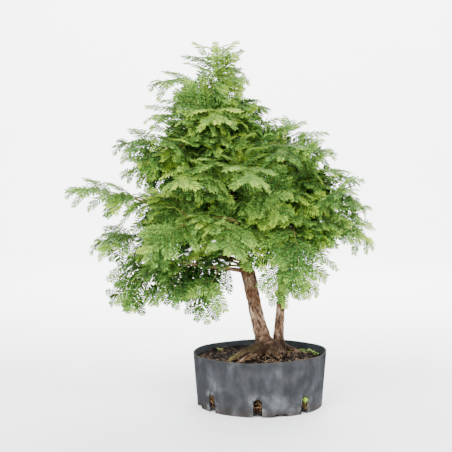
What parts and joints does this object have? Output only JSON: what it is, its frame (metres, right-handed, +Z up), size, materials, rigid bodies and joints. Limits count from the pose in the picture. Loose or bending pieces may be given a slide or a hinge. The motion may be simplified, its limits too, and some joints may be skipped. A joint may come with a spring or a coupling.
{
  "type": "dawn redwood bonsai",
  "caption": "Young twin-trunk dawn redwood trained as a bonsai, with feathery sprays of flat needles, in a shallow round plastic training pot filled with soil.",
  "frame": {"origin": "centre of the pot's base, on the surface that it stands on", "axes": "+Z up along the pot's axis, -Y towards the tree's front, +X to the right seen from the front; the long trunk leans towards -X"},
  "size_m": [0.4633, 0.2945, 0.5445],
  "materials": {
    "pot_plastic": "matt, slightly cloudy",
    "potting_soil": "crumbly, matt",
    "bark": "rough, flaking in strips",
    "needles_mid": "soft, satin",
    "needles_light": "soft, satin",
    "needles_deep": "soft, satin"
  },
  "bodies": {
    "root": {"pot": "pot_plastic", "soil": "potting_soil", "wood": "bark", "spray_01": "needles_light", "spray_02": "needles_deep", "spray_03": "needles_mid", "spray_04": "needles_light", "spray_05": "needles_deep", "spray_06": "needles_mid", "spray_07": "needles_light", "spray_08": "needles_deep", "spray_09": "needles_mid", "spray_10": "needles_light", "spray_11": "needles_deep", "spray_12": "needles_mid", "spray_13": "needles_light", "spray_14": "needles_deep", "spray_15": "needles_mid", "spray_16": "needles_light", "spray_17": "needles_deep", "spray_18": "needles_mid", "spray_19": "needles_light", "spray_20": "needles_deep", "spray_21": "needles_mid", "spray_22": "needles_light", "spray_23": "needles_deep", "spray_24": "needles_mid", "spray_25": "needles_light", "spray_26": "needles_deep", "spray_27": "needles_mid", "spray_28": "needles_light", "spray_29": "needles_deep", "spray_30": "needles_mid", "spray_31": "needles_light", "spray_32": "needles_deep", "spray_33": "needles_mid", "spray_34": "needles_light", "spray_35": "needles_deep", "spray_36": "needles_mid", "spray_37": "needles_light", "spray_38": "needles_deep", "spray_39": "needles_mid", "spray_40": "needles_light", "spray_41": "needles_deep", "spray_42": "needles_mid", "spray_43": "needles_light", "spray_44": "needles_deep", "spray_45": "needles_mid", "spray_46": "needles_light", "spray_47": "needles_deep", "spray_48": "needles_mid", "spray_49": "needles_light", "spray_50": "needles_deep", "spray_51": "needles_mid", "spray_52": "needles_light"}
  },
  "joints": []
}
